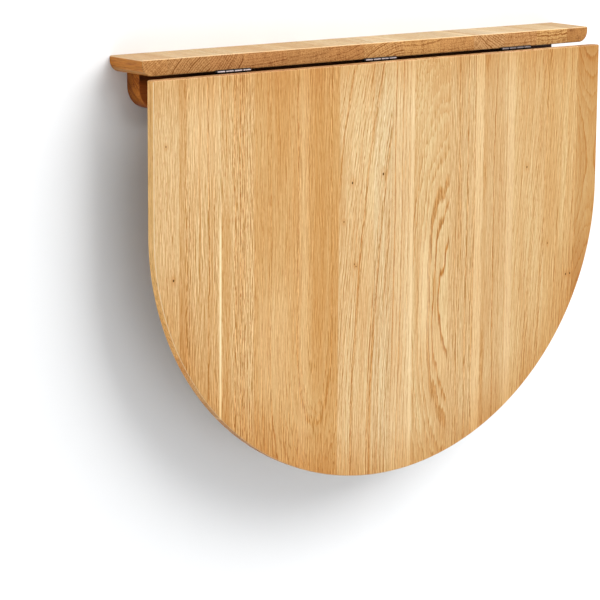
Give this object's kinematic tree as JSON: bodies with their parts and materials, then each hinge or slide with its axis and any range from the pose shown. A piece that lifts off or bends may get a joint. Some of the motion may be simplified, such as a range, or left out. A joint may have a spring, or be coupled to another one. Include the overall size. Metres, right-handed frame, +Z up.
{
  "type": "wall mounted drop leaf table",
  "caption": "Wall mounted oak table: a shallow shelf on a rail, with a D-shaped leaf on dark hinges that folds up level with the shelf and rests on folding arms.",
  "frame": {"origin": "middle of the line of wall screws in the rail, on the wall plane", "axes": "+X along the wall to the right seen from the room, +Y into the wall, +Z up"},
  "size_m": [0.9, 0.1137, 0.6906],
  "materials": {
    "oak_panel": "oiled oak, edge-glued staves, satin",
    "oak_solid": "oiled oak, satin",
    "beech_dowel": "plain beech",
    "dark_hinge": "dark bronze, satin, rubbed bright on the knuckles",
    "bracket_paint": "black powder coat, fine texture",
    "steel": "zinc plated steel",
    "knob": "black moulded plastic",
    "felt": "dark brown felt"
  },
  "bodies": {
    "wall_frame": {"arm_pivot_left": "steel", "arm_pivot_right": "steel", "hinge_left_pin": "dark_hinge", "hinge_left_shelf_plate": "dark_hinge", "hinge_middle_pin": "dark_hinge", "hinge_middle_shelf_plate": "dark_hinge", "hinge_right_pin": "dark_hinge", "hinge_right_shelf_plate": "dark_hinge", "leg_screws": "steel", "lock_bush_left": "steel", "lock_bush_right": "steel", "post_dowels": "beech_dowel", "rail_dowels": "beech_dowel", "shelf_hinge_screws": "dark_hinge", "shelf_stave_01": "oak_panel", "shelf_stave_02": "oak_panel", "shelf_stave_03": "oak_panel", "shelf_stave_04": "oak_panel", "shelf_stave_05": "oak_panel", "shelf_stave_06": "oak_panel", "shelf_stave_07": "oak_panel", "shelf_stave_08": "oak_panel", "shelf_stave_09": "oak_panel", "shelf_stave_10": "oak_panel", "shelf_stave_11": "oak_panel", "shelf_stave_12": "oak_panel", "shelf_stave_13": "oak_panel", "wall_leg_left": "bracket_paint", "wall_leg_right": "bracket_paint", "wall_post_left": "oak_solid", "wall_post_right": "oak_solid", "wall_rail": "oak_solid"},
    "leaf": {"hinge_left_leaf_plate": "dark_hinge", "hinge_middle_leaf_plate": "dark_hinge", "hinge_right_leaf_plate": "dark_hinge", "leaf_hinge_screws": "dark_hinge", "leaf_stave_01": "oak_panel", "leaf_stave_02": "oak_panel", "leaf_stave_03": "oak_panel", "leaf_stave_04": "oak_panel", "leaf_stave_05": "oak_panel", "leaf_stave_06": "oak_panel", "leaf_stave_07": "oak_panel", "leaf_stave_08": "oak_panel", "leaf_stave_09": "oak_panel", "leaf_stave_10": "oak_panel", "leaf_stave_11": "oak_panel", "leaf_stave_12": "oak_panel", "leaf_stave_13": "oak_panel"},
    "arm_left": {"arm_left": "bracket_paint", "arm_pad_left": "felt"},
    "arm_right": {"arm_pad_right": "felt", "arm_right": "bracket_paint"},
    "lock_left": {"lock_knob_left": "knob", "lock_pin_left": "steel"},
    "lock_right": {"lock_knob_right": "knob", "lock_pin_right": "steel"}
  },
  "joints": [
    {"name": "leaf_fold", "type": "hinge", "parent": "wall_frame", "child": "leaf", "pos_m": [0, -0.088, 0.0283], "axis": [-1, 0, 0], "range_deg": [0, 90]},
    {"name": "arm_left_swing", "type": "hinge", "parent": "wall_frame", "child": "arm_left", "pos_m": [-0.342, -0.058, -0.0017], "axis": [-1, 0, 0], "range_deg": [0, 90]},
    {"name": "arm_right_swing", "type": "hinge", "parent": "wall_frame", "child": "arm_right", "pos_m": [0.342, -0.058, -0.0017], "axis": [-1, 0, 0], "range_deg": [0, 90]},
    {"name": "lock_left_slide", "type": "slide", "parent": "wall_frame", "child": "lock_left", "axis": [-1, 0, 0], "range_m": [0, 0.004]},
    {"name": "lock_right_slide", "type": "slide", "parent": "wall_frame", "child": "lock_right", "axis": [1, 0, 0], "range_m": [0, 0.004]}
  ],
  "couplings": [
    {"joint": "arm_left_swing", "follows": "leaf_fold", "ratio": 1},
    {"joint": "arm_right_swing", "follows": "leaf_fold", "ratio": 1}
  ]
}
